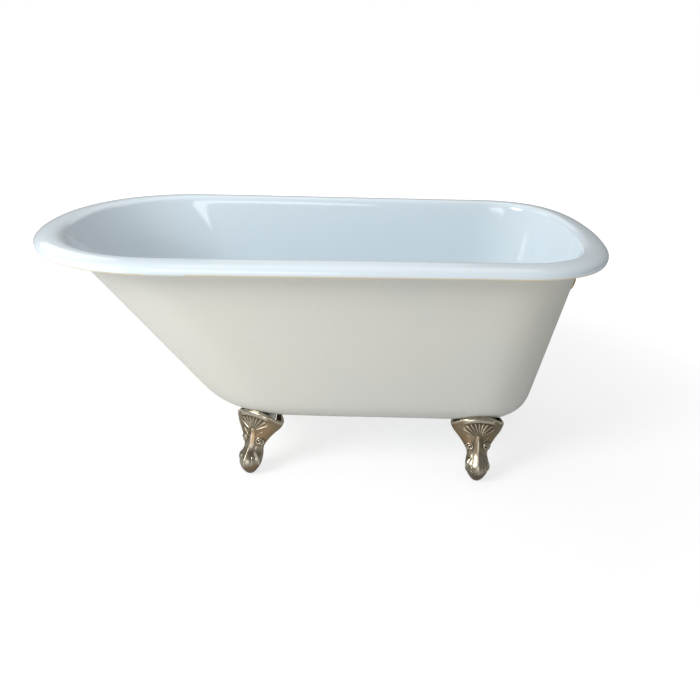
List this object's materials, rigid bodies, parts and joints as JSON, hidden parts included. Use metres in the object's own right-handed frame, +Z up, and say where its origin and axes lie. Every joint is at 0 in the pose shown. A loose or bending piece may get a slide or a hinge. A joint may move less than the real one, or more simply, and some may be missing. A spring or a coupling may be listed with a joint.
{
  "type": "clawfoot bathtub",
  "caption": "Free-standing roll-rim cast-iron bath with one sloping round end and one steep end, on claw-and-ball feet, with waste, plug and overflow.",
  "frame": {"origin": "on the floor, under the middle of the rim's length and width", "axes": "+X towards the steep tap end, +Z up"},
  "size_m": [1.5241, 0.7624, 0.627],
  "materials": {
    "enamelled_iron": "glossy white enamel inside and on the rim, satin cream paint outside",
    "aged_foot_metal": "worn nickel and brass plating over cast iron",
    "steel": "dull zinc",
    "brass": "aged plated brass",
    "rubber": "matte"
  },
  "bodies": {
    "bath": {"bath_casting": "enamelled_iron", "foot_head_front": "aged_foot_metal", "foot_bolt_head_front": "steel", "foot_washer_head_front": "steel", "foot_nut_head_front": "steel", "foot_head_rear": "aged_foot_metal", "foot_bolt_head_rear": "steel", "foot_washer_head_rear": "steel", "foot_nut_head_rear": "steel", "foot_tap_front": "aged_foot_metal", "foot_bolt_tap_front": "steel", "foot_washer_tap_front": "steel", "foot_nut_tap_front": "steel", "foot_tap_rear": "aged_foot_metal", "foot_bolt_tap_rear": "steel", "foot_washer_tap_rear": "steel", "foot_nut_tap_rear": "steel", "waste_body": "brass", "waste_bedding_ring": "rubber", "waste_rubber_washer": "rubber", "waste_slip_washer": "brass", "waste_backnut": "brass", "overflow_grid": "brass", "overflow_screw": "brass", "overflow_gasket": "rubber", "overflow_elbow": "brass"},
    "plug": {"plug": "rubber", "plug_eye": "brass"},
    "pull_ring": {"plug_ring": "brass"}
  },
  "joints": [
    {"name": "plug_lift", "type": "slide", "parent": "bath", "child": "plug", "axis": [0, 0, 1], "range_m": [0, 0.05]},
    {"name": "pull_ring_hinge", "type": "hinge", "parent": "plug", "child": "pull_ring", "pos_m": [0.47033, 0, 0.16476], "axis": [0, -1, 0], "range_deg": [0, 129]}
  ]
}
